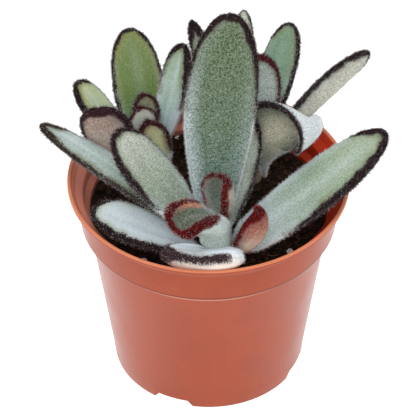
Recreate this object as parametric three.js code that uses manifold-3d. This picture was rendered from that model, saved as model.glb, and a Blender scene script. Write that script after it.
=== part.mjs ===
// Panda plant (Kalanchoe tomentosa): three rosettes of thick felted leaves in a plastic nursery pot.
// Millimetres, +Z up. The origin is the middle of the flat base that the pot stands on.
// -Y is the side that the front rosette leans over, and +X is to its right.

import * as THREE from 'three';
import { mergeVertices } from 'three/addons/utils/BufferGeometryUtils.js';
import Module from 'manifold-3d';

const wasm = await Module();
wasm.setup();

const DEG = Math.PI / 180;

// ---- Driving dimensions ------------------------------------------------------------------

const POT_HEIGHT = 72;
const LIP_RADIUS = 45;
const LIP_DEPTH = 1.5;
const COLLAR_TOP_RADIUS = 43.3;
const COLLAR_RADIUS = 41;
const COLLAR_FLARE_DEPTH = 5.4;
const COLLAR_DEPTH = 15.5;
const BODY_TOP_RADIUS = 38.5;
const BODY_FOOT_RADIUS = 31.4;
const FOOT_RADIUS = 30.7;
const FOOT_BEVEL_HEIGHT = 6.3;
const WALL = 1.1;
const FLOOR_THICKNESS = 1.4;

const NOTCH_COUNT = 4;
const NOTCH_FIRST_TURN = -112;
const NOTCH_HEIGHT = 2.6;
const NOTCH_FOOT_WIDTH = 15;
const NOTCH_TOP_WIDTH = 10;

const SOIL_TOP = 60.5;
const SOIL_CLEARANCE = 0.3;
const SOIL_BOTTOM = 4.5;
const SOIL_DOME = 0.8;

const STEM_RADIUS = 3.2;
const STEM_DEPTH_IN_SOIL = 16;
const HOLE_CLEARANCE = 0.3;
const LEAF_SEAT = 0.3;

const POT_SEGMENTS = 64;
const LEAF_ROWS = 14;
const LEAF_SIDES = 12;

// ---- Finishes ----------------------------------------------------------------------------

const plastic = new THREE.MeshStandardMaterial({ color: '#b96248', roughness: 0.45, metalness: 0 });
const peat = new THREE.MeshStandardMaterial({ color: '#2a1d15', roughness: 1, metalness: 0 });
const stemSkin = new THREE.MeshStandardMaterial({ color: '#8a7a58', roughness: 0.95, metalness: 0 });
const oldFelt = new THREE.MeshStandardMaterial({ color: '#9fb3a0', roughness: 0.95, metalness: 0 });
const youngFelt = new THREE.MeshStandardMaterial({ color: '#b9bda6', roughness: 0.95, metalness: 0 });

// ---- Helpers -----------------------------------------------------------------------------

const group = new THREE.Group();

function add(name, geometry, material) {
  const mesh = new THREE.Mesh(geometry, material);
  mesh.name = name;
  group.add(mesh);
  return mesh;
}

// A closed three.js geometry as a solid that can be joined or cut.
function solid(geometry) {
  const bare = geometry.clone();
  bare.deleteAttribute('normal');
  bare.deleteAttribute('uv');
  const merged = mergeVertices(bare, 1e-4);
  return new wasm.Manifold(new wasm.Mesh({
    numProp: 3,
    vertProperties: new Float32Array(merged.attributes.position.array),
    triVerts: new Uint32Array(merged.index.array),
  }));
}

function geometryOf(body) {
  const mesh = body.getMesh();
  const geometry = new THREE.BufferGeometry();
  geometry.setAttribute('position', new THREE.BufferAttribute(new Float32Array(mesh.vertProperties), 3));
  geometry.setIndex(new THREE.BufferAttribute(new Uint32Array(mesh.triVerts), 1));
  return geometry;
}

// A body of revolution about Z from a closed [radius, height] outline.
function turned(outline, segments) {
  const points = outline.map(([radius, height]) => new THREE.Vector2(radius, height));
  points.push(points[0].clone());
  return new THREE.LatheGeometry(points, segments).rotateX(Math.PI / 2);
}

const smooth = (t) => t * t * (3 - 2 * t);
const clamp01 = (t) => Math.min(Math.max(t, 0), 1);

// ---- Pot ---------------------------------------------------------------------------------

function makePot() {
  const collarBottom = POT_HEIGHT - COLLAR_DEPTH;
  const shell = turned([
    [0, 0],
    [FOOT_RADIUS - 0.5, 0],
    [FOOT_RADIUS, 0.5],
    [BODY_FOOT_RADIUS, FOOT_BEVEL_HEIGHT],
    [BODY_TOP_RADIUS, collarBottom],
    [COLLAR_RADIUS - 0.2, collarBottom],
    [COLLAR_RADIUS, collarBottom + 0.4],
    [COLLAR_RADIUS, POT_HEIGHT - COLLAR_FLARE_DEPTH],
    [COLLAR_TOP_RADIUS, POT_HEIGHT - LIP_DEPTH - 1.3],
    [LIP_RADIUS - 0.4, POT_HEIGHT - LIP_DEPTH],
    [LIP_RADIUS, POT_HEIGHT - LIP_DEPTH + 0.5],
    [LIP_RADIUS, POT_HEIGHT - 0.5],
    [LIP_RADIUS - 0.4, POT_HEIGHT],
    [LIP_RADIUS - 1, POT_HEIGHT - 0.2],
    [COLLAR_TOP_RADIUS - 0.8, POT_HEIGHT - LIP_DEPTH - 1.45],
    [COLLAR_RADIUS - WALL, POT_HEIGHT - COLLAR_FLARE_DEPTH + 0.1],
    [COLLAR_RADIUS - WALL, POT_HEIGHT - 9.5],
    [BODY_TOP_RADIUS - WALL + 0.6, POT_HEIGHT - 11.2],
    [BODY_TOP_RADIUS - WALL, collarBottom - 0.5],
    [BODY_FOOT_RADIUS - WALL, FOOT_BEVEL_HEIGHT],
    [FOOT_RADIUS - WALL - 0.6, NOTCH_HEIGHT + FLOOR_THICKNESS],
    [0, NOTCH_HEIGHT + FLOOR_THICKNESS],
  ], POT_SEGMENTS);
  // Drain notches: slanted cuts through the foot wall, under the raised part of the floor.
  let pot = solid(shell);
  const half = new THREE.Shape([
    new THREE.Vector2(-NOTCH_FOOT_WIDTH / 2, -1),
    new THREE.Vector2(NOTCH_FOOT_WIDTH / 2, -1),
    new THREE.Vector2(NOTCH_TOP_WIDTH / 2, NOTCH_HEIGHT),
    new THREE.Vector2(-NOTCH_TOP_WIDTH / 2, NOTCH_HEIGHT),
  ]);
  for (let i = 0; i < NOTCH_COUNT; i++) {
    const cut = new THREE.ExtrudeGeometry(half, { depth: 14, bevelEnabled: false });
    cut.rotateX(Math.PI / 2).rotateZ(Math.PI / 2).translate(FOOT_RADIUS - 8, 0, 0);
    cut.rotateZ((NOTCH_FIRST_TURN + i * 360 / NOTCH_COUNT) * DEG);
    pot = pot.subtract(solid(cut));
  }
  return pot;
}

add('pot', geometryOf(makePot()), plastic);

// ---- Stems and soil ----------------------------------------------------------------------

// Where each stem stands, and the height of its growing tip.
const STEMS = {
  front: { x: 2, y: -26, top: 73 },
  left: { x: -18, y: 12, top: 73.5 },
  right: { x: 14, y: 12, top: 74 },
};

function stemSolid({ x, y, top }, extra) {
  const radius = STEM_RADIUS + extra;
  const foot = SOIL_TOP - STEM_DEPTH_IN_SOIL - extra;
  return turned([
    [0, foot],
    [radius - 0.8, foot],
    [radius, foot + 0.8],
    [radius, top - 3],
    [radius * 0.85, top - 1.2],
    [radius * 0.5, top - 0.2],
    [0, top],
  ], 16).translate(x, y, 0);
}

for (const [rosette, stem] of Object.entries(STEMS)) {
  add(`${rosette}_stem`, stemSolid(stem, 0), stemSkin);
}

function makeSoil() {
  const collarBottom = POT_HEIGHT - COLLAR_DEPTH;
  const gap = WALL + SOIL_CLEARANCE;
  let soil = solid(turned([
    [0, SOIL_BOTTOM],
    [FOOT_RADIUS - gap - 1, SOIL_BOTTOM],
    [BODY_FOOT_RADIUS - gap - 0.1, FOOT_BEVEL_HEIGHT + 0.3],
    [BODY_TOP_RADIUS - gap, collarBottom - 0.5],
    [BODY_TOP_RADIUS - gap + 0.4, SOIL_TOP - 0.3],
    [BODY_TOP_RADIUS - gap - 1, SOIL_TOP],
    [BODY_TOP_RADIUS * 0.5, SOIL_TOP + SOIL_DOME * 0.7],
    [0, SOIL_TOP + SOIL_DOME],
  ], 48));
  for (const stem of Object.values(STEMS)) {
    soil = soil.subtract(solid(stemSolid({ ...stem, top: POT_HEIGHT + 6 }, HOLE_CLEARANCE)));
  }
  return soil;
}

add('soil', geometryOf(makeSoil()), peat);

// ---- Leaves ------------------------------------------------------------------------------

// A leaf is a round blank drawn out along its midline. Angles are in degrees.
//   stem, height  where the neck sits on a stem
//   turn, sway    heading in plan at the neck, and how far it swings by the tip
//   rise, curl    slope at the neck, and how much steeper the tip is
//   roll, twist   turn of the blade about its own midline, and how much more at the tip
//   late          above 0, sway, curl and twist come mostly near the tip
//   length, width, thick
//   cup           how far the blade bends up into a channel from edge to edge
//   peak          where it is widest, from 0 at the neck to 1 at the tip
//   base          width near the neck as a share of the full width
//   off, reach    how far round the stem the neck sits from the heading, and how far out
//   neck          size of the neck against the usual one
//   belly         above 1, the underside is fuller than the usual lens
const NECK_HALF_WIDTH = 2.1;
const NECK_HALF_THICKNESS = 1.4;
const NECK_LENGTH = 8;
const NECK_SHARE = 0.3;
const TIP_BLUNTNESS = 2.3;
const TOP_FLATNESS = 0.75;
const MIDLINE_STEPS = 60;
const LEAF_DEFAULTS = {
  sway: 0, curl: 0, late: 0, thick: 5, cup: 30, roll: 0, twist: 0,
  peak: 0.62, base: 0.38, off: 0, neck: 1, belly: 1,
};

// Heading, left side and top side of the blade at a point of its midline.
function bladeFrame(turn, rise, roll) {
  const [t, r] = [turn * DEG, rise * DEG];
  const ahead = new THREE.Vector3(Math.cos(r) * Math.cos(t), Math.cos(r) * Math.sin(t), Math.sin(r));
  const up = new THREE.Vector3(-Math.sin(r) * Math.cos(t), -Math.sin(r) * Math.sin(t), Math.cos(r));
  up.applyAxisAngle(ahead, roll * DEG);
  const side = new THREE.Vector3().crossVectors(up, ahead);
  return { ahead, side, up };
}

function leafGeometry(spec) {
  const leaf = { ...LEAF_DEFAULTS, ...spec };
  const stem = STEMS[leaf.stem];
  const lean = Math.hypot(
    NECK_HALF_THICKNESS * Math.cos(leaf.roll * DEG), NECK_HALF_WIDTH * Math.sin(leaf.roll * DEG));
  const reach = leaf.reach ?? STEM_RADIUS + LEAF_SEAT + leaf.neck * lean * Math.sin(leaf.rise * DEG);
  const seat = (leaf.turn + leaf.off) * DEG;
  const frameAt = (s) => {
    const change = s ** (leaf.late + 1);
    return bladeFrame(
      leaf.turn + leaf.sway * change, leaf.rise + leaf.curl * change, leaf.roll + leaf.twist * change);
  };
  const midline = [new THREE.Vector3(
    stem.x + reach * Math.cos(seat), stem.y + reach * Math.sin(seat), leaf.height)];
  for (let i = 0; i < MIDLINE_STEPS; i++) {
    const step = frameAt((i + 0.5) / MIDLINE_STEPS).ahead.multiplyScalar(leaf.length / MIDLINE_STEPS);
    midline.push(midline[i].clone().add(step));
  }
  const pointAt = (s) => {
    const place = s * MIDLINE_STEPS;
    const i = Math.min(Math.floor(place), MIDLINE_STEPS - 1);
    return midline[i].clone().lerp(midline[i + 1], place - i);
  };

  const outline = (s) => {
    const growing = leaf.base + (1 - leaf.base) * Math.sin(clamp01(s / leaf.peak) * Math.PI / 2) ** 1.15;
    const closing = Math.sqrt(1 - clamp01((s - leaf.peak) / (1 - leaf.peak)) ** TIP_BLUNTNESS);
    return leaf.width / 2 * (s < leaf.peak ? growing : closing);
  };
  const depth = (s) => leaf.thick / 2
    * Math.sqrt(1 - clamp01((s - leaf.peak) / (1 - leaf.peak)) ** 3)
    * (0.65 + 0.35 * clamp01(s / 0.3));
  const cup = leaf.cup * DEG;

  const blank = new THREE.SphereGeometry(1, LEAF_SIDES, LEAF_ROWS);
  const { position, uv } = blank.attributes;
  for (let k = 0; k < position.count; k++) {
    const row = Math.round((1 - uv.getY(k)) * LEAF_ROWS);
    if (row === 0 || row === LEAF_ROWS) {
      const pole = midline[row === 0 ? 0 : MIDLINE_STEPS];
      position.setXYZ(k, pole.x, pole.y, pole.z);
      continue;
    }
    const along = (row - 1) / (LEAF_ROWS - 1);
    const s = 0.55 * Math.sin(along * Math.PI / 2) + 0.45 * along;
    const swell = smooth(clamp01(s * leaf.length / Math.min(NECK_LENGTH, leaf.length * NECK_SHARE)));
    const neckWidth = NECK_HALF_WIDTH * leaf.neck;
    const neckDepth = NECK_HALF_THICKNESS * leaf.neck;
    const halfWidth = neckWidth + (outline(s) - neckWidth) * swell;
    const halfDepth = neckDepth + (depth(s) - neckDepth) * swell;
    const around = -Math.round(uv.getX(k) * LEAF_SIDES) / LEAF_SIDES * 2 * Math.PI;
    const across = Math.cos(around);
    const lift = Math.sin(around) * (Math.sin(around) > 0 ? TOP_FLATNESS : leaf.belly) * halfDepth;
    const bend = across * cup / 2;
    const radius = 2 * halfWidth / cup;
    const sideways = radius * Math.sin(bend) - Math.sin(bend) * lift;
    const upward = radius * (1 - Math.cos(bend)) - 0.3 * radius * (1 - Math.cos(cup / 2))
      + Math.cos(bend) * lift;
    const { side, up } = frameAt(s);
    const point = pointAt(s).addScaledVector(side, sideways).addScaledVector(up, upward);
    position.setXYZ(k, point.x, point.y, point.z);
  }
  blank.deleteAttribute('normal');
  blank.deleteAttribute('uv');
  return mergeVertices(blank, 1e-4);
}

const LEAVES = {
  // Front rosette
  front_tall_leaf: {
    stem: 'front', height: 69, off: -8, turn: 94, sway: -30, rise: 54, curl: 14,
    length: 69, width: 23, thick: 5.5, cup: 25,
  },
  front_left_leaf: {
    stem: 'front', height: 70.4, off: 5, turn: 151, rise: 38, curl: 8,
    length: 42, width: 19, peak: 0.6,
  },
  front_low_left_leaf: {
    stem: 'front', height: 64.2, reach: 4.2, off: 28, turn: 166, rise: 16, curl: 0, roll: -13,
    length: 37, width: 14.5,
  },
  front_rim_leaf: {
    stem: 'front', height: 67.8, reach: 4.6, off: 0, turn: -108, rise: 17, curl: 24, roll: 9,
    length: 14.6, width: 26, thick: 7.6, cup: 40, peak: 0.55,
  },
  front_young_left_leaf: {
    stem: 'front', height: 72.8, reach: 5.4, off: 53, neck: 1.7,
    turn: 220, sway: -4, rise: 105, curl: -130, late: 0, roll: 42, twist: -76,
    length: 27.5, width: 12.5, thick: 4, belly: 2.1, cup: 150, base: 0.5, peak: 0.85,
  },
  front_young_back_leaf: {
    stem: 'front', height: 73.3, reach: 2.4, off: -60, neck: 0.7,
    turn: 84, rise: 72, curl: 10, roll: -60,
    length: 17.3, width: 20, thick: 3, cup: 150,
  },
  front_young_right_leaf: {
    stem: 'front', height: 69, reach: 4.2, off: -4, neck: 0.9, turn: -25, rise: 10, curl: 100,
    length: 22, width: 18, thick: 3.5, cup: 160,
  },
  front_right_leaf: {
    stem: 'front', height: 65.4, reach: 4.9, off: -46, turn: 28.6, rise: 20, curl: 10, roll: 12,
    length: 62, width: 17.5, base: 0.6, peak: 0.52,
  },
  front_back_leaf: {
    stem: 'front', height: 64.5, off: 8, turn: 71, rise: 43, curl: 5,
    length: 41, width: 15, base: 0.3,
  },
  front_far_left_leaf: {
    stem: 'front', height: 67.7, off: -18, turn: 148, rise: 19, curl: -6,
    length: 65, width: 10.5, peak: 0.5,
  },
  // Left rosette
  left_broad_leaf: {
    stem: 'left', height: 69, off: 8, turn: 99, sway: 8, rise: 36, curl: 12,
    length: 41, width: 17, peak: 0.5,
  },
  left_channelled_leaf: {
    stem: 'left', height: 71, reach: 4.1, off: -10, turn: 66, rise: 54, curl: 8,
    length: 35, width: 10, cup: 90,
  },
  left_side_leaf: {
    stem: 'left', height: 70, off: 6, turn: 157, rise: 42, curl: 10,
    length: 32, width: 12.5,
  },
  left_near_leaf: {
    stem: 'left', height: 69, reach: 5.7, off: 13, turn: 194, rise: 50, curl: 30, roll: 75,
    length: 29.6, width: 16.6, thick: 3.8, cup: 60,
  },
  left_low_leaf: { stem: 'left', height: 65, turn: -66, rise: 16, curl: 10, length: 17, width: 11 },
  left_hidden_leaf: { stem: 'left', height: 65, turn: 92, rise: 16, curl: 6, length: 24, width: 13 },
  left_young_back_leaf: {
    stem: 'left', height: 74, reach: 2.8, off: -32, neck: 0.6, turn: 122, rise: 62, curl: 16,
    length: 17.5, width: 10, thick: 2.6, cup: 50,
  },
  left_young_middle_leaf: {
    stem: 'left', height: 74.1, reach: 1.6, off: 98, neck: 0.6, turn: 126, rise: 62, curl: 16,
    length: 15.5, width: 11.6, thick: 2.6, cup: 50,
  },
  left_young_near_leaf: {
    stem: 'left', height: 67.6, reach: 6.1, off: -201, neck: 0.6,
    turn: 150, rise: 76, curl: -8, roll: -52,
    length: 20.6, width: 10.6, thick: 2.5, cup: 50,
  },
  // Right rosette
  right_hooded_leaf: {
    stem: 'right', height: 67.2, reach: 6.7, off: -230, neck: 1.3,
    turn: 174, sway: -33, rise: 88, curl: 200, late: 1.8, roll: -109, twist: 115,
    length: 39, width: 25, cup: 23, base: 0.3, peak: 0.86,
  },
  right_arched_leaf: {
    stem: 'right', height: 67.2, off: 8, turn: 37.5, rise: 42, curl: -30, roll: -95,
    length: 49.5, width: 9, base: 0.3,
  },
  right_back_leaf: {
    stem: 'right', height: 71.2, off: 0, turn: 70, rise: 37, curl: 6,
    length: 42, width: 12, base: 0.3,
  },
  right_small_leaf: {
    stem: 'right', height: 73.6, reach: 3.2, off: -12, turn: 80.5, rise: 70, curl: 8,
    length: 31, width: 14,
  },
  right_inner_leaf: { stem: 'right', height: 71, off: 36, turn: 90, rise: 43, length: 45, width: 7 },
  right_crossing_leaf: {
    stem: 'right', height: 71, reach: 5, off: 50, turn: 121.5, rise: 49, curl: 6, roll: -40,
    length: 45.5, width: 6.5,
  },
  right_hidden_leaf: { stem: 'right', height: 65, turn: 104, rise: 14, curl: 6, length: 28, width: 13 },
};

for (const [name, spec] of Object.entries(LEAVES)) {
  add(name, leafGeometry(spec), name.includes('young') ? youngFelt : oldFelt);
}

export default group;
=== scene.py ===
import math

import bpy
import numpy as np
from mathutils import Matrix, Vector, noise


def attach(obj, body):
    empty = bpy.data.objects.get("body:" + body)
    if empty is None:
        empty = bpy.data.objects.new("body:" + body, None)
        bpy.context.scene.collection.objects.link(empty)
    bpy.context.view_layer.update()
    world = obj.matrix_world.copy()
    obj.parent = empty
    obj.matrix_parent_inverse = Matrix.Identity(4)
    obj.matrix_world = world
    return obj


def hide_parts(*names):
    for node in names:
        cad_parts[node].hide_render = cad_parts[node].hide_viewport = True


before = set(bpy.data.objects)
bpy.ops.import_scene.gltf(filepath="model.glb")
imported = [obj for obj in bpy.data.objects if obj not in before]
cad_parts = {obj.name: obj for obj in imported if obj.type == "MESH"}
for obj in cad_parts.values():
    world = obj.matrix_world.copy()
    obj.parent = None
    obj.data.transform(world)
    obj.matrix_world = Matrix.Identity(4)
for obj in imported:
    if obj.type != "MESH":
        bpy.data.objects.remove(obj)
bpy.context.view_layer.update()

# %% [markdown]
# # A potted panda plant
# Three rosettes of thick leaves stand in a terracotta-coloured plastic nursery pot. Every leaf is
# covered with short white hair, and its margin carries a band of dark brown hair.
# The work goes from the outside in: first the tools and the finishes, then pot, soil and stems,
# then the leaves, their hair, and last the studio.
# Everything is in metres, with +Z up. The origin is the middle of the pot's flat base.

MM = 0.001


def deselect():
    """Nothing stays selected, because an operator acts on everything that is."""
    if bpy.context.object and bpy.context.object.mode != "OBJECT":
        bpy.ops.object.mode_set(mode="OBJECT")
    bpy.ops.object.select_all(action="DESELECT")


def pick(piece):
    """Makes one piece the only selected one."""
    deselect()
    piece.select_set(True)
    bpy.context.view_layer.objects.active = piece


def add_object(name, data):
    """Puts new data into the scene, at the origin."""
    made = bpy.data.objects.new(name, data)
    bpy.context.scene.collection.objects.link(made)
    return made


def settle(piece, finish, slot, *nodes):
    """Gives a piece its finish and puts it on the body, in place of the solids it stands for."""
    piece.data.materials.append(finish)
    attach(piece, "root")
    if nodes:
        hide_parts(*nodes)


# %% [markdown]
# ## Finishes as formulas
# A finish is a small graph of nodes. It reads best as arithmetic, so one class wraps an output
# socket and lets + - * add the Math nodes, and one method makes every other node.

# %% A wire and a finish
def sign(operation, turned=False):
    """The method behind one of the usual signs: it adds a Math node."""
    def method(self, other):
        terms = {0: other, 1: self} if turned else {0: self, 1: other}
        return self.finish.node("ShaderNodeMath", {"operation": operation}, terms)
    return method


class Wire:
    """One output of a node, which + - * turn into Math nodes."""
    __add__, __radd__ = sign("ADD"), sign("ADD", turned=True)
    __sub__, __rsub__ = sign("SUBTRACT"), sign("SUBTRACT", turned=True)
    __mul__, __rmul__ = sign("MULTIPLY"), sign("MULTIPLY", turned=True)

    def __init__(self, finish, socket):
        self.finish = finish
        self.socket = socket


class Finish:
    """A material whose nodes are made by one method."""

    def __init__(self, name):
        self.material = bpy.data.materials.new(name)
        self.material.use_nodes = True
        self.tree = self.material.node_tree
        self.tree.nodes.clear()
        self.place = self.node("ShaderNodeTexCoord", out="Object")

    def node(self, kind, settings=None, sockets=None, out=0):
        made = self.tree.nodes.new(kind)
        for name, value in (settings or {}).items():
            if name == "stops":
                for at, colour in value[2:]:
                    made.color_ramp.elements.new(at)
                for stop, (at, colour) in zip(made.color_ramp.elements, value):
                    stop.position = at
                    stop.color = colour
            else:
                setattr(made, name, value)
        for key, value in (sockets or {}).items():
            if isinstance(value, Wire):
                self.tree.links.new(value.socket, made.inputs[key])
            else:
                made.inputs[key].default_value = value
        return Wire(self, made.outputs[out]) if made.outputs else None

    def axis(self, vector, letter):
        """The X, Y or Z of a vector."""
        return self.node("ShaderNodeSeparateXYZ", None, {0: vector}, out=letter)

    def grain(self, size_mm, detail=2.0, roughness=0.5, stretch=None):
        """Smooth random values round 0.5, whose lumps are about size_mm across."""
        place = self.place
        if stretch:
            place = self.node("ShaderNodeMapping", None, {"Vector": place, "Scale": stretch})
        return self.node("ShaderNodeTexNoise", None, {
            "Vector": place, "Scale": 1 / (size_mm * MM), "Detail": detail, "Roughness": roughness})

    def step(self, value, low, high):
        """0 below low, 1 above high, smooth between."""
        return self.node("ShaderNodeMapRange", {"interpolation_type": "SMOOTHSTEP"}, {
            "Value": value, "From Min": low, "From Max": high})

    def between(self, value, low, risen, falling, high):
        """1 from risen to falling, 0 below low and above high, smooth between."""
        return self.step(value, low, risen) * (1 - self.step(value, falling, high))

    def mix(self, share, first, second):
        colours = {0: share, 6: first, 7: second}
        return self.node("ShaderNodeMix", {"data_type": "RGBA"}, colours, out=2)

    def ramp(self, value, *stops):
        return self.node("ShaderNodeValToRGB", {"stops": stops}, {"Fac": value})

    def mark(self, name):
        """A number that the mesh carries at each of its points."""
        return self.node("ShaderNodeAttribute", {"attribute_name": name}, out="Fac")

    def bump(self, height, deep_mm, strength):
        return self.node("ShaderNodeBump", None, {
            "Height": height, "Distance": deep_mm * MM, "Strength": strength})

    def surface(self, **sockets):
        """The finished material, from sockets of the shader written with _ for a space."""
        shader = self.node("ShaderNodeBsdfPrincipled", None, {
            key.replace("_", " "): value for key, value in sockets.items()})
        self.node("ShaderNodeOutputMaterial", None, {"Surface": shader})
        return self.material


def tone(red, green, blue):
    """A screen colour from 0 to 255 as the linear colour that a shader wants."""
    def linear(value):
        value = value / 255
        return value / 12.92 if value <= 0.04045 else ((value + 0.055) / 1.055) ** 2.4
    return (linear(red), linear(green), linear(blue), 1.0)


# %% [markdown]
# ## The plastic of the pot
# The pot is moulded polypropylene: an even warm terracotta, a little glossy, with very fine
# grain from the mould and faint scuffs. The colour hardly varies, so the finish lives in its
# roughness and in a soft unevenness of the wall. Light through the thin wall is painted on the
# inside: painted pale on the left and warm red on the right, with a painted highlight at the mouth.

# %% Pot plastic
# Heights in metres. A line starts at the first, is full from the second to the third and ends at
# the fourth.
# Painted shade at the foot of the collar, a painted highlight below it and one on the mouth.
COLLAR_SHADE_LINE = (0.0563, 0.0564, 0.0571, 0.0575)
LEDGE_HIGHLIGHT_LINE = (0.0534, 0.0537, 0.0543, 0.0548)
MOUTH_HIGHLIGHT_START = (0.0712, 0.0718)


def pot_plastic():
    finish = Finish("pot_plastic")
    clouds = finish.grain(14, 3)
    specks = finish.grain(0.45, 2)
    flow = finish.grain(5, 2, stretch=(1, 1, 0.12))
    height = finish.axis(finish.place, "Z")
    inner = finish.mark("inner")
    base = finish.mix(finish.step(clouds, 0.35, 0.65), tone(150, 59, 25), tone(157, 64, 29))
    base = finish.mix(finish.step(specks, 0.56, 0.72) * 0.3, base, tone(186, 92, 58))
    base = finish.mix(finish.step(specks, 0.28, 0.44) * -0.25 + 0.25, base, tone(134, 44, 18))
    base = finish.mix(finish.step(flow, 0.45, 0.75) * 0.2, base, tone(146, 52, 24))
    # painted shade along the foot of the collar, a thin painted highlight just below it,
    # and a painted highlight on the mouth
    base = finish.mix(finish.between(height, *COLLAR_SHADE_LINE) * 0.8, base, tone(104, 40, 26))
    base = finish.mix(finish.between(height, *LEDGE_HIGHLIGHT_LINE) * 0.4, base, tone(230, 164, 138))
    mouth_highlight = finish.step(height, *MOUTH_HIGHLIGHT_START)
    base = finish.mix(mouth_highlight * 0.7, base, tone(224, 138, 100))
    # painted light inside the pot: pale on the left and warm red on the right
    to_right = finish.step(finish.axis(finish.place, "X"), 0.0, 0.03)
    inside = finish.mix(to_right, tone(246, 158, 138), tone(206, 52, 22))
    base = finish.mix(inner * (1 - mouth_highlight) * 0.85, base, inside)
    rough = 0.3 + 0.1 * finish.step(clouds, 0.3, 0.7) + 0.08 * specks
    relief = finish.bump(flow * 0.6 + specks * 0.25, 0.12, 0.35)
    return finish.surface(
        Base_Color=base, Roughness=rough, Normal=relief, IOR=1.3,
        Coat_Weight=0.4, Coat_IOR=1.3, Coat_Roughness=0.22, Sheen_Weight=0.06,
        Sheen_Roughness=0.2, Sheen_Tint=(1, 0.94, 0.9, 1))


# %% [markdown]
# ## Turning round parts
# Pot, soil and stems are bodies of revolution. The outline is a chain of points, its corners are
# rounded with short arcs, and Spin carries it round the axis.

# %% Rounded outlines and the lathe
def rounded(outline, radii, steps=4):
    """An outline whose corner i is replaced by an arc of radius radii.get(i), in millimetres."""
    points = []
    count = len(outline)
    for i, corner in enumerate(outline):
        radius = radii.get(i, 0)
        if not radius:
            points.append(tuple(corner))
            continue
        here = Vector(corner)
        before = Vector(outline[i - 1]) - here
        after = Vector(outline[(i + 1) % count]) - here
        half = before.angle(after) / 2
        back = min(radius / math.tan(half), before.length * 0.45, after.length * 0.45)
        start = here + before.normalized() * back
        end = here + after.normalized() * back
        for k in range(steps + 1):
            t = k / steps
            points.append(tuple(start * (1 - t) ** 2 + here * 2 * t * (1 - t) + end * t ** 2))
    return points


def lathe(name, outline, steps, centre=(0, 0)):
    """Spins a chain of (radius, height) points, in millimetres, about an upright axis.

    The chain starts and ends on the axis, so the circle it is made from is opened there.
    """
    deselect()
    bpy.ops.mesh.primitive_circle_add(vertices=len(outline), radius=1, fill_type="NOTHING")
    piece = bpy.context.object
    piece.name = name
    for vertex, (radius, height) in zip(piece.data.vertices, outline):
        vertex.co = Vector((radius + centre[0], centre[1], height)) * MM
    bpy.ops.object.mode_set(mode="EDIT")
    bpy.ops.mesh.select_all(action="DESELECT")
    bpy.ops.object.mode_set(mode="OBJECT")
    for vertex in (piece.data.vertices[0], piece.data.vertices[-1]):
        vertex.select = True
    for edge in piece.data.edges:
        edge.select = {0, len(outline) - 1} == set(edge.vertices)
    bpy.ops.object.mode_set(mode="EDIT")
    bpy.ops.mesh.delete(type="EDGE")
    bpy.ops.mesh.select_all(action="SELECT")
    bpy.ops.mesh.spin(
        steps=steps, angle=math.tau, center=(centre[0] * MM, centre[1] * MM, 0), axis=(0, 0, 1))
    bpy.ops.mesh.select_all(action="SELECT")
    bpy.ops.mesh.remove_doubles(threshold=1e-6)
    bpy.ops.mesh.normals_make_consistent(inside=False)
    bpy.ops.object.mode_set(mode="OBJECT")
    return piece


# %% [markdown]
# ## The pot
# A 9 cm nursery pot has a thin wall that tapers to the foot, a deeper collar under the mouth so
# that pots stack without jamming, a flared lip, and a foot with notches that let water out. One
# closed outline gives both sides of the wall at once. Depths are measured down from the mouth.

# %% Pot measures
POT_HEIGHT = 72
LIP_RADIUS = 45
LIP_DEPTH = 1.3
COLLAR_TOP_RADIUS = 43.3
COLLAR_TOP_DEPTH = 2.8
COLLAR_RADIUS = 41
COLLAR_FLARE_DEPTH = 5.4
COLLAR_DEPTH = 15.5
BODY_TOP_RADIUS = 38.5
BODY_FOOT_RADIUS = 31.4
FOOT_RADIUS = 30.7
FOOT_HEIGHT = 6.3
WALL = 1.1
LIP_WALL = 0.8
FLOOR_LEVEL = 4.0
NOTCH_HEIGHT = 2.6
NOTCH_HALF_WIDTHS = (7.5, 5.0)
NOTCH_DEPTH = 8
FIRST_NOTCH = -112
PAST_THE_POT = 37
POT_SIDES = 144

# %% Turn the pot
collar_bottom = POT_HEIGHT - COLLAR_DEPTH
pot_outline = [
    # up the outside
    (0.0, 0.0),
    (FOOT_RADIUS, 0.0),
    (BODY_FOOT_RADIUS, FOOT_HEIGHT),
    (BODY_TOP_RADIUS, collar_bottom),
    (COLLAR_RADIUS, collar_bottom),
    (COLLAR_RADIUS, POT_HEIGHT - COLLAR_FLARE_DEPTH),
    (COLLAR_TOP_RADIUS, POT_HEIGHT - COLLAR_TOP_DEPTH),
    (LIP_RADIUS - 0.5, POT_HEIGHT - 1.6),
    (LIP_RADIUS, POT_HEIGHT - LIP_DEPTH),
    (LIP_RADIUS, POT_HEIGHT),
    # down the inside
    (LIP_RADIUS - WALL, POT_HEIGHT - 0.1),
    (COLLAR_TOP_RADIUS - LIP_WALL, POT_HEIGHT - 2.95),
    (COLLAR_RADIUS - WALL, POT_HEIGHT - COLLAR_FLARE_DEPTH + 0.1),
    (COLLAR_RADIUS - WALL, POT_HEIGHT - 9.5),
    (BODY_TOP_RADIUS - WALL + 0.6, POT_HEIGHT - 11.2),
    (BODY_TOP_RADIUS - WALL, collar_bottom - 0.5),
    (BODY_FOOT_RADIUS - WALL, FOOT_HEIGHT),
    (FOOT_RADIUS - WALL - 0.6, FLOOR_LEVEL),
    (0.0, FLOOR_LEVEL),
]
corner_radii = {
    1: 0.6, 2: 1.5, 3: 0.4, 4: 0.5, 5: 1.5, 6: 1, 7: 0.6, 8: 0.3, 9: 0.5, 10: 0.5, 11: 1,
    12: 1.5, 13: 0.8, 14: 0.8, 15: 1, 16: 1, 17: 0.8,
}
pot = lathe("nursery_pot", rounded(pot_outline, corner_radii), POT_SIDES)
print("pot points:", len(pot.data.vertices))

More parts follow.
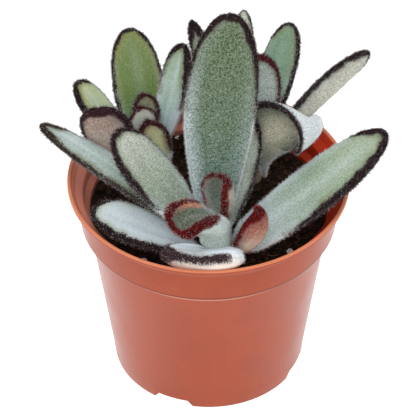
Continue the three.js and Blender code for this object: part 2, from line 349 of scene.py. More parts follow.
# %% Cut the drain notches
for turn in range(4):
    angle = math.radians(FIRST_NOTCH + 90 * turn)
    deselect()
    bpy.ops.mesh.primitive_cube_add(size=1)
    wedge = bpy.context.object
    for vertex in wedge.data.vertices:
        low = vertex.co.z < 0
        reach = PAST_THE_POT if vertex.co.x > 0 else FOOT_RADIUS - NOTCH_DEPTH
        across = math.copysign(NOTCH_HALF_WIDTHS[0 if low else 1], vertex.co.y)
        vertex.co = Vector((
            reach * math.cos(angle) - across * math.sin(angle),
            reach * math.sin(angle) + across * math.cos(angle),
            -1 if low else NOTCH_HEIGHT)) * MM
    pick(pot)
    cut = pot.modifiers.new("notch", "BOOLEAN")
    cut.operation = "DIFFERENCE"
    cut.solver = "EXACT"
    cut.object = wedge
    bpy.ops.object.modifier_apply(modifier="notch")
    bpy.data.objects.remove(wedge)

# %% Tell the inside of the pot from its outside
inner_side = pot.data.attributes.new("inner", "FLOAT", "POINT")
for vertex in pot.data.vertices:
    outward = vertex.normal.x * vertex.co.x + vertex.normal.y * vertex.co.y
    above_floor = vertex.co.z > (FLOOR_LEVEL + 1) * MM
    inner_side.data[vertex.index].value = float(outward < 0 and above_floor)
pick(pot)
bpy.ops.object.shade_smooth_by_angle(angle=math.radians(38))
settle(pot, pot_plastic(), "pot_plastic", "pot")
print("pot faces:", len(pot.data.polygons))


# %% [markdown]
# ## Potting soil
# The mix is dark moist peat: a lumpy bed, loose crumbs, broken brown fibres and a few white
# grains of perlite. The bed is turned like the pot and then lifted and dropped with noise. The
# loose bits are one small shape each, set down many times in one mesh by a seeded rule.

# %% Soil finishes
def peat_finish(name, dark, light, damp):
    finish = Finish(name)
    lumps = finish.grain(2.2, 4, 0.65)
    fine = finish.grain(0.35, 3, 0.6)
    base = finish.mix(finish.step(lumps * 0.6 + fine * 0.4, 0.38, 0.66), dark, light)
    base = finish.mix(finish.step(fine, 0.62, 0.75) * 0.5, base, tone(96, 66, 44))
    relief = finish.bump(lumps * 0.7 + fine * 0.5, 0.8, 0.9)
    return finish.surface(
        Base_Color=base, Roughness=0.95 - damp * finish.step(lumps, 0.5, 0.7), Normal=relief,
        Specular_IOR_Level=0.2)


def perlite_finish():
    finish = Finish("perlite")
    pores = finish.grain(0.3, 3, 0.6)
    base = finish.mix(finish.step(pores, 0.4, 0.62), tone(216, 212, 206), tone(252, 251, 248))
    return finish.surface(Base_Color=base, Roughness=0.85, Normal=finish.bump(pores, 0.2, 0.8))


# %% Soil bed
SOIL_TOP = 60.5
STEMS = {"front": (2, -26, 73), "left": (-18, 12, 73.5), "right": (14, 12, 74)}  # x, y and top
SOIL_RADIUS = 37.5
SOIL_DOME = 0.8
STEM_RADIUS = 3.2


def stem_distance(x, y):
    """How far a place is from the middle of the nearest stem."""
    return min(math.hypot(x - stem_x, y - stem_y) for stem_x, stem_y, top in STEMS.values())


bed_outline = [
    (0, 4.5), (28.2, 4.5), (29.9, 6.6), (BODY_TOP_RADIUS - 1.4, collar_bottom - 0.5),
    (SOIL_RADIUS, SOIL_TOP - 0.4)]
for radius in np.linspace(SOIL_RADIUS - 0.3, 0, 56):
    bed_outline.append((radius, SOIL_TOP + SOIL_DOME * (1 - radius / SOIL_RADIUS)))
soil = lathe("soil_bed", bed_outline, 200)
for vertex in soil.data.vertices:
    place = vertex.co / MM
    if place.z < SOIL_TOP - 0.6:
        continue
    lumps = noise.fractal(place / 7, 1.0, 2.1, 4) * 1.1
    rough = lumps + noise.fractal(place / 1.6, 0.8, 2, 3) * 0.45
    edge = max(0.0, math.hypot(place.x, place.y) - 33) / 4.2
    mound = 0.9 * math.exp(-((stem_distance(place.x, place.y) / 7) ** 2))
    vertex.co.z += (rough * 0.9 + mound - 0.5 * edge ** 2) * MM
pick(soil)
bpy.ops.object.shade_smooth()
settle(soil, peat_finish("soil", tone(14, 9, 6), tone(52, 34, 22), 0.25), "soil", "soil")
print("soil points:", len(soil.data.vertices))


# %% [markdown]
# Loose bits share one way of making: a small shape, turned, stretched and set down again and
# again. Writing the copies straight into one mesh keeps hundreds of bits quick to make.

# %% How much lies on the bed
CRUMBS = 1500
CLODS = 90
FIBRES = 300
FLATNESS = 0.7
PERLITE = [
    (-20.3, -26.5), (25.7, -23.2), (36.0, -14.5), (-33.0, -5.5), (-31.5, 16.0), (5.0, 33.0),
    (33.0, 12.0), (-10.0, 33.5), (30.2, 2.5)]


# %% Scatter copies of a small shape
def turns(rng, count):
    """Random rotations as 3 by 3 matrices."""
    q = rng.normal(size=(count, 4))
    q /= np.linalg.norm(q, axis=1, keepdims=True)
    w, x, y, z = q.T
    return np.stack([
        np.stack([1 - 2 * (y * y + z * z), 2 * (x * y - z * w), 2 * (x * z + y * w)], 1),
        np.stack([2 * (x * y + z * w), 1 - 2 * (x * x + z * z), 2 * (y * z - x * w)], 1),
        np.stack([2 * (x * z - y * w), 2 * (y * z + x * w), 1 - 2 * (x * x + y * y)], 1)], 1)


def copies_piece(name, points, triangles):
    """One piece from copies of a small shape: points[copy, corner] in mm, triangles of one copy."""
    count, corners = points.shape[:2]
    joined = (triangles[None] + (np.arange(count) * corners)[:, None, None]).reshape(-1, 3)
    mesh = bpy.data.meshes.new(name)
    mesh.vertices.add(count * corners)
    mesh.vertices.foreach_set("co", (points.reshape(-1, 3) * MM).astype(np.float32).ravel())
    mesh.loops.add(joined.size)
    mesh.loops.foreach_set("vertex_index", joined.astype(np.int32).ravel())
    mesh.polygons.add(len(joined))
    mesh.polygons.foreach_set("loop_start", np.arange(0, joined.size, 3, dtype=np.int32))
    mesh.update(calc_edges=True)
    mesh.validate()
    return add_object(name, mesh)


def lump(subdivisions, seed):
    """An uneven stone-like blank of about unit radius: its points and its triangles."""
    deselect()
    bpy.ops.mesh.primitive_ico_sphere_add(subdivisions=subdivisions, radius=1)
    blank = bpy.context.object
    for vertex in blank.data.vertices:
        vertex.co *= 1 + 0.45 * noise.noise(vertex.co * 1.3 + Vector((seed, seed * 2.1, 0)))
    points = np.array([vertex.co[:] for vertex in blank.data.vertices])
    faces = np.array([face.vertices[:] for face in blank.data.polygons])
    bpy.data.objects.remove(blank)
    return points, faces


def soil_level(x, y):
    """Height of the bed under a place, in millimetres, by a ray cast straight down."""
    hit, place = soil.ray_cast(Vector((x, y, 120)) * MM, Vector((0, 0, -1)))[:2]
    return place.z / MM if hit else SOIL_TOP


def free_spots(rng, count, inside=36.8):
    """Places on the bed that are clear of the stems."""
    spots = []
    while len(spots) < count:
        x, y = rng.uniform(-inside, inside, 2)
        if math.hypot(x, y) < inside and stem_distance(x, y) > STEM_RADIUS + 1:
            spots.append((x, y, soil_level(x, y)))
    return np.array(spots)


def scatter(name, template, spots, sizes, rng, sunk=0.15):
    """Sets a shape down at every spot, turned and stretched at random and pressed flat."""
    points, triangles = template
    count = len(spots)
    stretch = rng.uniform(0.6, 1.25, (count, 1, 3)) * sizes[:, None, None]
    placed = np.einsum("nij,npj->npi", turns(rng, count), points[None] * stretch)
    placed[:, :, 2] *= FLATNESS
    placed += spots[:, None, :]
    placed[:, :, 2] += (sizes * (FLATNESS * 0.6 - sunk))[:, None]
    return copies_piece(name, placed, triangles)


# %% Crumbs and perlite
rng = np.random.default_rng(11)
crumb_sites = free_spots(rng, CRUMBS)
crumbs = scatter("soil_crumbs", lump(1, 3), crumb_sites, rng.uniform(0.35, 1.0, CRUMBS) ** 1.5, rng)
settle(crumbs, peat_finish("soil_crumb", tone(20, 13, 9), tone(96, 64, 42), 0.15), "soil")

clod_sites = free_spots(rng, CLODS)
clods = scatter("soil_clods", lump(2, 8), clod_sites, rng.uniform(0.9, 1.9, CLODS), rng)
settle(clods, peat_finish("soil_clod", tone(16, 10, 7), tone(72, 48, 32), 0.2), "soil")

grain_sites = np.array([(x, y, soil_level(x, y)) for x, y in PERLITE])
grain_sizes = rng.uniform(0.6, 1.15, len(PERLITE))
perlite = scatter("perlite_grains", lump(3, 5), grain_sites, grain_sizes, rng, sunk=0.0)
settle(perlite, perlite_finish(), "soil")
print("crumbs:", CRUMBS, "clods:", CLODS, "perlite grains:", len(PERLITE))


# %% [markdown]
# Coir and root fibres lie across the bed. Each is a thin three-sided thread that follows a
# wandering path just over the soil.

# %% Fibres
BENDS = 5
THREAD_REACH = 36.6


def threads(name, spots, rng, length, thick):
    """Threads that start at the spots and stay on the bed."""
    count = len(spots)
    heading = rng.uniform(0, math.tau, count)
    path = [spots + np.array([0, 0, 0.25])]
    for k in range(BENDS):
        heading = heading + rng.normal(0, 0.45, count)
        stride = (length / BENDS)[:, None] * np.stack(
            [np.cos(heading), np.sin(heading), rng.normal(0, 0.18, count)], 1)
        path.append(path[-1] + stride)
    path = np.stack(path, 1)
    reach = np.hypot(path[:, :, 0], path[:, :, 1])
    path[:, :, :2] *= np.minimum(1, THREAD_REACH / reach)[:, :, None]
    for i in range(count):
        for k in range(BENDS + 1):
            level = soil_level(path[i, k, 0], path[i, k, 1])
            path[i, k, 2] = level + 0.12 + 0.5 * abs(path[i, k, 2] - spots[i, 2])
    rings = []
    for k in range(BENDS + 1):
        width = thick * (1 - 0.7 * k / BENDS)
        for corner in range(3):
            swing = math.tau * corner / 3
            rings.append(path[:, k] + width[:, None] * np.array([
                math.cos(swing) * 0.7, math.sin(swing) * 0.7, math.sin(swing + 1)]))
    triangles = []
    for k in range(BENDS):
        for corner in range(3):
            a, b = 3 * k + corner, 3 * k + (corner + 1) % 3
            triangles += [(a, b, b + 3), (a, b + 3, a + 3)]
    triangles += [(0, 2, 1), (3 * BENDS, 3 * BENDS + 1, 3 * BENDS + 2)]
    return copies_piece(name, np.stack(rings, 1), np.array(triangles))


def fibre_finish():
    finish = Finish("soil_fibre")
    patches = finish.grain(3, 2)
    base = finish.mix(finish.step(patches, 0.4, 0.62), tone(90, 56, 34), tone(158, 110, 76))
    return finish.surface(Base_Color=base, Roughness=0.8, Normal=finish.bump(patches, 0.1, 0.3))


fibre_sites = free_spots(rng, FIBRES, 35.5)
fibre_lengths = rng.uniform(2, 8, FIBRES)
fibres = threads("soil_fibres", fibre_sites, rng, fibre_lengths, rng.uniform(0.07, 0.2, FIBRES))
settle(fibres, fibre_finish(), "soil")
print("fibres:", FIBRES)


# %% [markdown]
# ## Leaf form
# A leaf of this plant is a thick, slightly cupped blade on a short neck. Its midline leaves the
# stem at a heading and a slope, and both may change on the way to the tip. Round this midline runs
# a section that is a lens bent into a shallow channel. No operator draws such a body, so a
# sphere is added as the blank, and its rings are moved out along the midline by this formula.
#
# turn and rise are the heading and the slope at the base, in degrees, and roll is the tilt to one
# side. sway, curl and twist say how much these three change on the way to the tip, and late how
# late they do it. height and reach say where the neck starts, and off how far round the stem.
# base, peak and point shape the outline, full, crown and belly the section, neck and shoulder the
# neck, and cup is how far the section is bent, in degrees.
#
# The numbers are those of the solids, so that each blade stays where its solid is, with three
# small departures: a fuller rim leaf, a slimmer neck on the hooded leaf and pointed young tips.
# The blade adds what a coarse solid leaves out: teeth, a groove and a soft unevenness.

# %% Leaf numbers
LEAF_DEFAULTS = dict(
    sway=0, curl=0, late=0, thick=5, cup=30, roll=0, twist=0, peak=0.62, base=0.38, off=0, neck=1,
    belly=1, crown=0.75, full=1, point=0.5)
LEAVES = {
    # Front rosette
    "front_tall": dict(
        height=69, off=-8, turn=94, sway=-30, rise=54, curl=14, length=69, width=23, thick=5.5,
        cup=25),
    "front_left": dict(
        height=70.4, off=5, turn=151, rise=38, curl=8, length=42, width=19, peak=0.6),
    "front_low_left": dict(
        height=64.2, reach=4.2, off=28, turn=166, rise=16, roll=-13, length=37, width=14.5),
    "front_rim": dict(
        height=67.8, reach=4.6, turn=-108, rise=17, curl=24, roll=9, length=14.6, width=26,
        thick=7.6, cup=40, peak=0.55, crown=1.0, full=0.5),
    "front_young_left": dict(
        height=72.8, reach=5.4, off=53, neck=1.7, turn=220, sway=-4, rise=105, curl=-130, roll=42,
        twist=-76, length=27.5, width=12.5, thick=4, belly=2.1, cup=150, base=0.5, peak=0.85),
    "front_young_back": dict(
        height=73.3, reach=2.4, off=-60, neck=0.7, turn=84, rise=72, curl=10, roll=-60, length=17.3,
        width=20, thick=3, cup=150),
    "front_young_right": dict(
        height=69, reach=4.2, off=-4, neck=0.9, turn=-25, rise=10, curl=100, length=22, width=18,
        thick=3.5, cup=160),
    "front_right": dict(
        height=65.4, reach=4.9, off=-46, turn=28.6, rise=20, curl=10, roll=12, length=62,
        width=17.5, base=0.6, peak=0.52),
    "front_back": dict(height=64.5, off=8, turn=71, rise=43, curl=5, length=41, width=15, base=0.3),
    "front_far_left": dict(
        height=67.7, off=-18, turn=148, rise=19, curl=-6, length=65, width=10.5, peak=0.5),
    # Left rosette
    "left_broad": dict(
        height=69, off=8, turn=99, sway=8, rise=36, curl=12, length=41, width=17, peak=0.5),
    "left_channelled": dict(
        height=71, reach=4.1, off=-10, turn=66, rise=54, curl=8, length=35, width=10, cup=90),
    "left_side": dict(height=70, off=6, turn=157, rise=42, curl=10, length=32, width=12.5),
    "left_near": dict(
        height=69, reach=5.7, off=13, turn=194, rise=50, curl=30, roll=75, length=29.6, width=16.6,
        thick=3.8, cup=60),
    "left_low": dict(height=65, turn=-66, rise=16, curl=10, length=17, width=11),
    "left_hidden": dict(height=65, turn=92, rise=16, curl=6, length=24, width=13),
    "left_young_back": dict(
        height=74, reach=2.8, off=-32, neck=0.6, turn=122, rise=62, curl=16, length=17.5, width=10,
        thick=2.6, cup=50, point=0.8),
    "left_young_middle": dict(
        height=74.1, reach=1.6, off=98, neck=0.6, turn=126, rise=62, curl=16, length=15.5,
        width=11.6, thick=2.6, cup=50, point=0.8),
    "left_young_near": dict(
        height=67.6, reach=6.1, off=-201, neck=0.6, turn=150, rise=76, curl=-8, roll=-52,
        length=20.6, width=10.6, thick=2.5, cup=50, point=0.75),
    # Right rosette
    "right_hooded": dict(
        height=67.2, reach=6.7, off=-230, neck=0.5, turn=174, sway=-33, rise=88, curl=200, late=1.8,
        roll=-109, twist=115, length=39, width=25, cup=23, base=0.3, peak=0.86, shoulder=18),
    "right_arched": dict(
        height=67.2, off=8, turn=37.5, rise=42, curl=-30, roll=-95, length=49.5, width=9, base=0.3),
    "right_back": dict(height=71.2, turn=70, rise=37, curl=6, length=42, width=12, base=0.3),
    "right_small": dict(
        height=73.6, reach=3.2, off=-12, turn=80.5, rise=70, curl=8, length=31, width=14),
    "right_inner": dict(height=71, off=36, turn=90, rise=43, length=45, width=7),
    "right_crossing": dict(
        height=71, reach=5, off=50, turn=121.5, rise=49, curl=6, roll=-40, length=45.5, width=6.5),
    "right_hidden": dict(height=65, turn=104, rise=14, curl=6, length=28, width=13),
}
print("leaves:", len(LEAVES))


# %% Leaf skin
NECK_HALF_WIDTH = 2.1
NECK_HALF_DEPTH = 1.4
NECK_GAP = 0.3
SHOULDER = 8
MIDLINE_STEPS = 240
TOOTH_SPACING = 4.1
TOOTH_HEIGHT = 0.13
GROOVE_DEPTH = 0.16
UNEVENNESS = 0.05


def smooth(t):
    """0 to 1 with a soft start and a soft end."""
    t = np.clip(t, 0, 1)
    return t * t * (3 - 2 * t)


def facing(turn, rise, roll):
    """Ahead, left side and top side of a blade, for arrays of angles in degrees."""
    t, r, w = np.radians(turn), np.radians(rise), np.radians(roll)
    ahead = np.stack([np.cos(r) * np.cos(t), np.cos(r) * np.sin(t), np.sin(r)], -1)
    level = np.stack([-np.sin(r) * np.cos(t), -np.sin(r) * np.sin(t), np.cos(r)], -1)
    up = level * np.cos(w)[..., None] + np.cross(ahead, level) * np.sin(w)[..., None]
    return ahead, np.cross(up, ahead), up


class Blade:
    """The shape of one leaf on its stem, from its numbers."""

    def __init__(self, stem, numbers):
        self.n = {**LEAF_DEFAULTS, **numbers}
        n = self.n
        roll = math.radians(n["roll"])
        lean = math.hypot(NECK_HALF_DEPTH * math.cos(roll), NECK_HALF_WIDTH * math.sin(roll))
        clear = STEM_RADIUS + NECK_GAP + n["neck"] * lean * math.sin(math.radians(n["rise"]))
        reach = n.get("reach", clear)
        seat = math.radians(n["turn"] + n["off"])
        middle = (np.arange(MIDLINE_STEPS) + 0.5) / MIDLINE_STEPS
        strides = self.frame(middle)[0] * n["length"] / MIDLINE_STEPS
        start = np.array([
            stem[0] + reach * math.cos(seat), stem[1] + reach * math.sin(seat), n["height"]])
        self.midline = np.concatenate([start[None], start + np.cumsum(strides, 0)])

    def frame(self, s):
        """Ahead, left side and top side at s, which runs from 0 at the base to 1 at the tip."""
        n = self.n
        change = s ** (n["late"] + 1)
        return facing(
            n["turn"] + n["sway"] * change, n["rise"] + n["curl"] * change,
            n["roll"] + n["twist"] * change)

    def middle(self, s):
        """The place of the midline at s."""
        grid = np.linspace(0, 1, MIDLINE_STEPS + 1)
        return np.stack([np.interp(s, grid, self.midline[:, k]) for k in range(3)], -1)

    def sizes(self, s):
        """Half width and half thickness at s."""
        n = self.n
        past = np.clip((s - n["peak"]) / (1 - n["peak"]), 0, 1)
        rising = np.clip(s / n["peak"], 0, 1)
        growing = n["base"] + (1 - n["base"]) * np.sin(rising * math.pi / 2) ** 1.15
        outline = n["width"] / 2 * np.where(s < n["peak"], growing, (1 - past ** 2.3) ** n["point"])
        depth = n["thick"] / 2 * np.sqrt(1 - past ** 3) * (0.65 + 0.35 * np.clip(s / 0.3, 0, 1))
        shoulder = n.get("shoulder", min(SHOULDER, n["length"] * 0.3))
        swell = smooth(s * n["length"] / shoulder)
        wide, deep = NECK_HALF_WIDTH * n["neck"], NECK_HALF_DEPTH * n["neck"]
        return wide + (outline - wide) * swell, deep + (depth - deep) * swell

    def skin(self, s, around):
        """The point of the skin at s and at an angle round the section, 0 at the left margin."""
        n = self.n
        half, depth = self.sizes(s)
        across = np.cos(around)
        lift = np.sign(np.sin(around)) * np.abs(np.sin(around)) ** n["full"]
        run = s * n["length"] / TOOTH_SPACING * math.tau + 3 * np.sin(s * 23) + np.sign(across)
        edge = np.abs(across) ** 10 * smooth((s - 0.35) / 0.2) * np.minimum(1, half / 4)
        half = half + np.sin(run) * TOOTH_HEIGHT * edge
        groove = GROOVE_DEPTH * np.exp(-(across / 0.16) ** 2)
        groove = groove * smooth(s / 0.15) * smooth((1 - s) / 0.2)
        ripple = UNEVENNESS * np.sin(s * 17 + across * 3 + n["turn"]) * (1 - across ** 2)
        height = np.where(lift > 0, n["crown"] * lift - groove, lift * n["belly"])
        height = (height + ripple * np.abs(lift)) * depth
        cup = math.radians(n["cup"])
        bend = across * cup / 2
        radius = 2 * half / cup
        sideways = radius * np.sin(bend) - np.sin(bend) * height
        upward = radius * (1 - np.cos(bend)) - 0.3 * radius * (1 - math.cos(cup / 2))
        upward = upward + np.cos(bend) * height
        side, up = self.frame(s)[1:]
        return self.middle(s) + side * sideways[..., None] + up * upward[..., None]


# %% [markdown]
# ## Leaf felt
# What looks like the colour of a leaf is mostly hair: white felt over green skin, thin near the
# margin, where a band of dark brown or red hair begins. Six numbers ride on each blade's points
# for the finish to read: how far a point lies inside the dark band, how far it is from the margin
# and from the midrib, where it is along the leaf, whether on its left, and whether underneath.

# %% Felt finish
def felt(name, look):
    """Felted skin from a look. The words of a look are explained where the looks are."""
    finish = Finish(name)
    along, inside = finish.mark("along"), finish.mark("band")
    rim, midrib, below = finish.mark("rim"), finish.mark("rib"), finish.mark("under")
    left = finish.mark("side")
    patches = finish.grain(7, 2)
    tufts = finish.grain(0.95, 2, 0.6)
    hairs = finish.grain(0.34, 1.5, 0.6)
    # three tones from base to tip, a painted highlight on the midrib, and the underside
    body = finish.ramp(
        along + (patches - 0.5) * 0.25, (0.12, look["low"]), (0.5, look["middle"]),
        (look["ripe"], look["high"]))
    rib_highlight = (1 - finish.step(midrib, 0.0, 0.42)) * (1 - finish.step(along, 0.72, 0.98))
    body = finish.mix(rib_highlight * look["rib"], body, tone(206, 218, 220))
    back = finish.mix(
        finish.step(along, look["fold"] - 0.55, look["fold"]), look["under_low"], look["under"])
    body = finish.mix(below, body, back)
    # white beside the margins: white hair seen edge on, with a painted sheen
    sheen_veil = 1 - finish.step(rim + (tufts - 0.5) * 1.2, 0.2, look["sheen_veil"])
    sheen_veil = sheen_veil * (1 - finish.step(along, 0.5, 0.9) * 0.7)
    body = finish.mix(
        sheen_veil * (left * look["margin_sheen"] + (1 - left) * look["margin_sheen_right"]), body, tone(216, 228, 238))
    # the glow along the inner edge of the band
    near = finish.step(inside + (tufts - 0.5) * 1.6, -look["halo"], -0.3)
    near = near * (1 - below * (1 - look["stain"]))
    near = near * (1 - look["blotch"] * (1 - finish.step(patches, 0.42, 0.56)))
    near = near * (1 - look["speckle"] * (1 - finish.step(hairs, 0.46, 0.6)))
    near = near * (left * look["glow_left"] + (1 - left) * look["glow_right"])
    near = near * (1 - finish.step(along, look["glow_to"] - 0.15, look["glow_to"] + 0.15))
    body = finish.mix(near * 0.9, body, look["glow"])
    # single hairs, with darker skin between them
    shade = finish.step(hairs * 0.75 + tufts * 0.25, 0.38, 0.62)
    gaps = finish.mix(0.6 * look["fuzz"], body, tone(34, 50, 30))
    tips = finish.mix(0.17 * look["fuzz"], body, tone(240, 246, 242))
    body = finish.mix(shade, gaps, tips)
    # the dark band with its ragged edge, and a white fringe where there is no band: white margin
    # hair with painted rim light
    ragged = inside + (hairs - 0.5) * 3.0 + (tufts - 0.5) * 1.8
    dark = finish.mix(finish.step(hairs, 0.5, 0.7) * look["glitter"], look["band"], look["spark"])
    body = finish.mix(finish.step(ragged, -0.45, 0.4), body, dark)
    lit_fringe = 1 - finish.step(rim + (hairs - 0.5) * 1.2, 0.05, 0.75)
    lit_fringe = lit_fringe * (0.7 - 0.7 * finish.step(along, 0.5, 0.8))
    lit_fringe = lit_fringe * (1 - 0.93 * finish.step(ragged, -0.45, 0.4))
    body = finish.mix(lit_fringe, body, tone(232, 238, 242))
    relief = finish.bump(hairs * 0.7 + tufts * 0.6, 0.25, 0.6)
    return finish.surface(
        Base_Color=body, Roughness=0.9, Normal=relief, Specular_IOR_Level=0.12,
        Sheen_Weight=0.05, Sheen_Roughness=0.35)


# %% [markdown]
# The hair that stands off the skin is real geometry: a sliver with three sides, a few tenths of
# a millimetre long. It gives the blades their soft outline and the margins their bristle. Its
# finish fades from root to tip and differs from hair to hair, along the two axes of its map.

# %% Hair finish
HAIR_MAP = "OFBake"
HAIR_TONES = {
    # root, tip, and the tip of a few hairs
    "pale": [(196, 206, 204), (246, 249, 250), (226, 232, 228)],
    "rust": [(104, 44, 32), (190, 116, 84), (236, 204, 174)],
    "wine": [(30, 6, 12), (66, 20, 30), (150, 92, 96)],
    "dark": [(22, 11, 14), (50, 26, 32), (118, 66, 72)],
    "mauve": [(60, 40, 46), (84, 58, 66), (128, 100, 106)],
    "red": [(24, 0, 3), (60, 0, 8), (232, 34, 26)],
}


def hair_finish(name, root, tip, other):
    finish = Finish(name)
    place = finish.node("ShaderNodeUVMap", {"uv_map": HAIR_MAP})
    kind = finish.axis(place, "X")
    height = finish.axis(place, "Y")
    tint = finish.mix(finish.step(kind, 0.58, 0.92), tip, other)
    base = finish.mix(finish.step(height, 0.0, 0.8), root, tint)
    return finish.surface(
        Base_Color=base, Roughness=0.7, Specular_IOR_Level=0.15, Sheen_Weight=0.04)


hair_skins = {}
for kind, tones in HAIR_TONES.items():
    hair_skins[kind] = hair_finish(f"{kind}_hair", *[tone(*screen) for screen in tones])
print("kinds of hair:", ", ".join(hair_skins))


# %% Slivers of hair
ROOT_DEPTH = 0.05
WILDNESS = 0.38


def hair_slivers(name, roots, normals, ahead, lengths, widths, lean, rng):
    """Slivers that stand on the skin and lean towards the tip of the leaf."""
    count = len(roots)
    wild = rng.normal(0, WILDNESS, (count, 3))
    aim = normals + ahead * lean[:, None] + wild
    aim /= np.linalg.norm(aim, axis=1, keepdims=True)
    first = np.cross(aim, rng.normal(size=(count, 3)))
    first /= np.linalg.norm(first, axis=1, keepdims=True)
    second = np.cross(aim, first)
    corners = [
        roots - aim * ROOT_DEPTH
        + widths[:, None] * (first * math.cos(a) + second * math.sin(a))
        for a in (0, math.tau / 3, 2 * math.tau / 3)]
    points = np.stack(corners + [roots + aim * lengths[:, None]], 1)
    triangles = np.array([(0, 2, 1), (0, 1, 3), (1, 2, 3), (2, 0, 3)])
    piece = copies_piece(name, points, triangles)
    # on the map every sliver stands at its own place across, with its tip at the top
    spread = rng.uniform(0.04, 0.96, count)
    sliver = np.array([(0, 0), (0.01, 0), (0.005, 0.04)] + [(0, 0), (0.02, 0), (0.01, 1)] * 3)
    flat = sliver[None] + np.stack([spread, np.zeros(count)], 1)[:, None]
    layer = piece.data.uv_layers.new(name=HAIR_MAP)
    layer.data.foreach_set("uv", flat.reshape(-1).astype(np.float32))
    return piece


# %% [markdown]
# ## Growing a leaf
# The blank's rings become places along the midline and its meridians become places round the
# section. The same two numbers say where the bands lie, so they are worked out at the same time.

# %% Grow one leaf
SIDES = 48
RINGS = 64
NECK_END = 1.2
NARROWEST_BAND = 0.12


def places_of(mesh):
    """All the points of a mesh as one array."""
    places = np.empty(len(mesh.vertices) * 3)
    mesh.vertices.foreach_get("co", places)
    return places.reshape(-1, 3)


def grow_leaf(name, numbers, look):
    """The blade in place of its solid, and what its hair needs to know."""
    blade = Blade(STEMS[name.split("_")[0]], numbers)
    deselect()
    bpy.ops.mesh.primitive_uv_sphere_add(segments=SIDES, ring_count=RINGS, radius=1)
    leaf = bpy.context.object
    mesh = leaf.data
    leaf.name = mesh.name = f"{name}_blade"
    round_blank = places_of(mesh)
    ring = np.round(np.arccos(np.clip(-round_blank[:, 2], -1, 1)) / math.pi * RINGS)
    along = np.clip((ring - 1) / (RINGS - 1), 0, 1)
    s = 0.85 * np.sin(along * math.pi / 2) + 0.15 * along
    around = np.arctan2(round_blank[:, 1], round_blank[:, 0])
    points = blade.skin(s, around)
    points[ring == 0] = blade.midline[0] - blade.frame(np.zeros(1))[0][0] * NECK_END
    points[ring == RINGS] = blade.midline[-1]
    mesh.vertices.foreach_set("co", (points * MM).ravel())
    for polygon in mesh.polygons:
        polygon.use_smooth = True
    mesh.update()
    marks = band_marks(blade, s, around, ring, look)
    for key, values in marks.items():
        mark = mesh.attributes.new(key, "FLOAT", "POINT")
        mark.data.foreach_set("value", values.astype(np.float32))
    settle(leaf, felt(f"{name}_blade_felt", look), look["slot"], f"{name}_leaf")
    return leaf, blade, marks


def band_marks(blade, s, around, ring, look):
    """What the finish and the hair need to know at each point. Lengths are in millimetres."""
    n = blade.n
    half, depth = blade.sizes(s)
    across = np.cos(around)
    to_side = np.hypot(half * (1 - np.abs(across)), depth * np.abs(np.sin(around)) * 0.8)
    to_tip = np.hypot((1 - s) * n["length"], depth * np.abs(np.sin(around)) * 0.8)
    rim = np.minimum(to_side, to_tip)
    left = smooth((across + 0.25) / 0.5)
    side_width = look["left"] * left + look["right"] * (1 - left)
    near_tip = smooth((s - 0.80) / 0.14)
    run = s * n["length"] + n["turn"] + 5 * np.sign(across)
    wave = 0.08 * np.sin(run / 1.7 + 2 * np.sin(run / 3.9)) + 0.05 * np.sin(run / 0.8 + 1)
    width = side_width * (1 - near_tip) + look["tip"] * near_tip
    width = width * smooth((s - look["start"]) / look["fade"])
    width = np.where(np.sin(around) < 0, width * look["below"], width) * (1 + wave)
    return {
        "along": s,
        "rim": np.where(ring == 0, 9, rim),
        "band": np.where(width > NARROWEST_BAND, width - rim, -6),
        "rib": np.abs(across),
        "side": left,
        "under": smooth(0.5 - 2.2 * np.sin(around)),
    }


# %% Grow the hair of a leaf
RIM_ZONE = 1.3
RIM_DENSITY = 13.0  # hairs per square millimetre
FELT_DENSITY = 2.8
BAND_DENSITY = 8.2
DARK_SHARE = 0.87
RIM_LENGTHS = (1.0, 0.8)  # dark and pale hair
FELT_LENGTHS = (0.6, 0.36)
DARK_WIDTH = 0.055
RIM_WIDTH = 0.045
FELT_WIDTH = 0.035
FEWEST_HAIRS = 8


def grow_hair(leaf, blade, marks, look, seed):
    """Draws the hairs of every face. The blank lists its faces in any order, so they are sorted."""
    mesh = leaf.data
    rng = np.random.default_rng(seed)
    faces = sorted(mesh.polygons, key=lambda face: face.vertices[:])
    corners = np.array([face.vertices[:3] for face in faces])
    areas = np.array([face.area for face in faces]) / MM ** 2
    normals = np.array([face.normal[:] for face in faces])
    places = places_of(mesh) / MM
    band = marks["band"][corners].mean(1)
    rim = marks["rim"][corners].mean(1)
    along = marks["along"][corners].mean(1)
    ahead = blade.frame(along)[0]
    near_band = smooth((band + 0.9) / 1.4)
    density = np.where(rim < RIM_ZONE, RIM_DENSITY, FELT_DENSITY + BAND_DENSITY * near_band)
    density = density * 1.0 * np.where(along < 0.04, 0.2, 1)
    count = rng.poisson(density * areas)
    chosen = np.repeat(np.arange(len(areas)), count)
    share = rng.dirichlet((1, 1, 1), len(chosen))
    roots = (places[corners[chosen]] * share[:, :, None]).sum(1)
    dark = rng.random(len(chosen)) < DARK_SHARE * near_band[chosen]
    edge = rim[chosen] < RIM_ZONE
    length = np.where(edge, np.where(dark, *RIM_LENGTHS), np.where(dark, *FELT_LENGTHS))
    length = length * rng.uniform(0.55, 1.3, len(chosen))
    width = np.where(dark, DARK_WIDTH, np.where(edge, RIM_WIDTH, FELT_WIDTH))
    width = width * rng.uniform(0.7, 1.2, len(chosen))
    grown = 0
    for kind, mask, skin in (("pale", ~dark, look["hair"]), ("dark", dark, look["band_hair"])):
        if mask.sum() < FEWEST_HAIRS:
            continue
        piece = hair_slivers(
            f"{leaf.name}_{kind}_hair", roots[mask], normals[chosen[mask]], ahead[chosen[mask]],
            length[mask], width[mask], np.where(edge[mask], 0.35, 0.6), rng)
        settle(piece, hair_skins[skin], look["slot"])
        grown += len(piece.data.polygons)
    return grown
